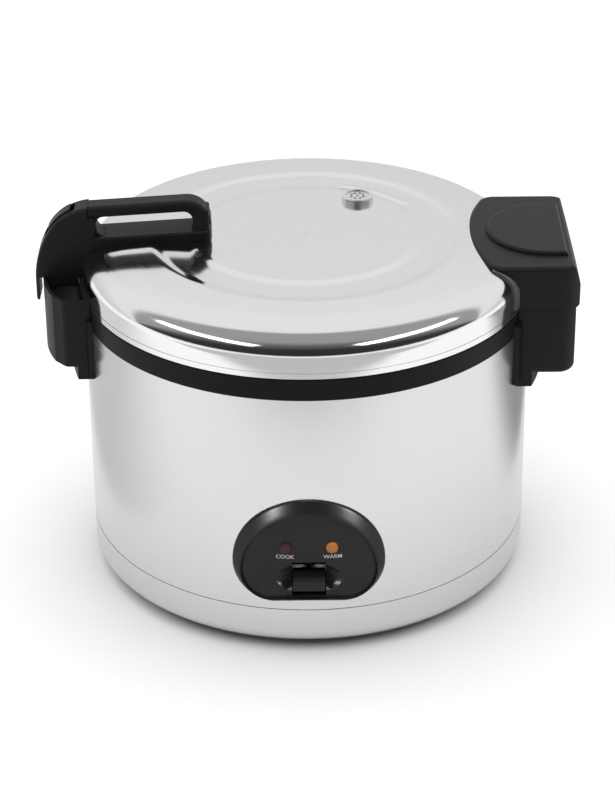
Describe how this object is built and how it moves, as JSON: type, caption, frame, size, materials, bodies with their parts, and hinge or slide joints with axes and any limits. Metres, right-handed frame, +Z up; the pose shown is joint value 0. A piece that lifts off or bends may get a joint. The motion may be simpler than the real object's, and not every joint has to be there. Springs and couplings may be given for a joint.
{
  "type": "rice cooker",
  "caption": "Large round electric rice cooker with a hinged stainless lid, latching lid handle, side carrying handles, cook lever with indicator lamps, lift-in pot and mains inlet.",
  "frame": {"origin": "on the table under the body's axis, centred in the overall length and width", "axes": "+Z up, control panel faces -Y, lid hinge at +X, lid handle and latch at -X, mains inlet at +Y"},
  "size_m": [0.46, 0.402, 0.3327],
  "materials": {
    "stainless": "brushed stainless sheet, satin",
    "lid_stainless": "polished satin stainless lid",
    "black_plastic": "fine moulded texture, satin black",
    "collar_black": "smooth black heat-proof plastic",
    "panel_black": "satin black moulding",
    "lever_black": "black lever moulding",
    "rubber_foot": "dark grey rubber",
    "silicone": "grey silicone seal",
    "pot_aluminium": "spun aluminium, fine turning marks",
    "cast_plate": "cast aluminium, as cast",
    "plated_steel": "zinc plated sheet",
    "spring_steel": "bright spring wire",
    "screw_steel": "plated screws",
    "element_sheath": "heat-darkened sheath",
    "ferrite": "sintered ferrite",
    "insulation_wool": "pressed mineral wool",
    "band_mica": "mica and glass tape band heater",
    "terminal_ceramic": "unglazed white ceramic",
    "switch_black": "switch body",
    "lens_cook": "dark red lens, unlit",
    "lens_warm": "amber lens, unlit",
    "lamp_glass": "small neon lamps",
    "brass_pin": "nickelled brass contact pins",
    "vent_steel": "satin pressed steel cap",
    "bracket_dark": "dark painted steel"
  },
  "bodies": {
    "cooker": {"base_ring": "stainless", "bottom_plate": "plated_steel", "feet": "rubber_foot", "foot_screws": "screw_steel", "body_shell": "stainless", "collar_ring": "collar_black", "inner_liner": "plated_steel", "keep_warm_band": "band_mica", "inner_pot": "pot_aluminium", "heating_plate": "cast_plate", "heating_element": "element_sheath", "plate_supports": "plated_steel", "thermostat_housing": "plated_steel", "cap_spring": "spring_steel", "lever_bracket": "plated_steel", "lever_pin": "screw_steel", "lever_spring": "spring_steel", "microswitch": "switch_black", "terminal_block": "terminal_ceramic", "thermal_fuse": "terminal_ceramic", "panel_bezel": "panel_black", "panel_back": "switch_black", "small_screws": "screw_steel", "cook_lens": "lens_cook", "warm_lens": "lens_warm", "indicator_lamps": "lamp_glass", "latch_side_block": "black_plastic", "side_screws": "screw_steel", "latch_strike": "plated_steel", "hinge_base": "black_plastic", "hinge_pin": "screw_steel", "inlet_housing": "black_plastic", "inlet_socket": "switch_black", "inlet_pins": "brass_pin"},
    "lid": {"lid_shell": "lid_stainless", "lid_rim_ring": "lid_stainless", "lid_pan": "plated_steel", "lid_pan_screws": "screw_steel", "lid_insulation": "insulation_wool", "lid_gasket": "silicone", "inner_lid": "pot_aluminium", "inner_lid_knob": "collar_black", "steam_vent_cap": "vent_steel", "vent_tube": "silicone", "hinge_cover": "black_plastic", "hinge_bracket": "bracket_dark", "handle_frame": "black_plastic", "handle_grip": "black_plastic", "handle_arm": "black_plastic", "handle_screws": "screw_steel", "latch_pin": "screw_steel"},
    "latch": {"latch_lever": "plated_steel", "latch_button": "black_plastic", "latch_spring": "spring_steel"},
    "cook_lever": {"cook_lever": "lever_black", "lever_arm": "plated_steel"},
    "magnet": {"magnet": "ferrite", "magnet_rod": "plated_steel"},
    "sensor_cap": {"thermostat_cap": "pot_aluminium", "ferrite_disc": "ferrite"}
  },
  "joints": [
    {"name": "lid_hinge", "type": "hinge", "parent": "cooker", "child": "lid", "pos_m": [0.2245, 0, 0.261], "axis": [0, 1, 0], "range_deg": [0, 85]},
    {"name": "latch_press", "type": "hinge", "parent": "lid", "child": "latch", "pos_m": [-0.209, 0, 0.29], "axis": [0, 1, 0], "range_deg": [0, 5], "stiffness_Nm_per_rad": 0.5, "springref_deg": -8.59},
    {"name": "cook_lever_press", "type": "hinge", "parent": "cooker", "child": "cook_lever", "pos_m": [0, -0.1, 0.04], "axis": [1, 0, 0], "range_deg": [0, 4], "stiffness_Nm_per_rad": 0.8, "springref_deg": -5.73},
    {"name": "magnet_lift", "type": "slide", "parent": "cooker", "child": "magnet", "axis": [0, 0, 1], "range_m": [0, 0.007], "deforming": ["lever_spring"]},
    {"name": "sensor_cap_press", "type": "slide", "parent": "cooker", "child": "sensor_cap", "axis": [0, 0, 1], "range_m": [-0.0025, 0], "stiffness_N_per_m": 900, "springref_m": 0.004, "deforming": ["cap_spring"]}
  ],
  "couplings": [
    {"joint": "magnet_lift", "follows": "cook_lever_press", "m_per_rad": 0.1}
  ]
}
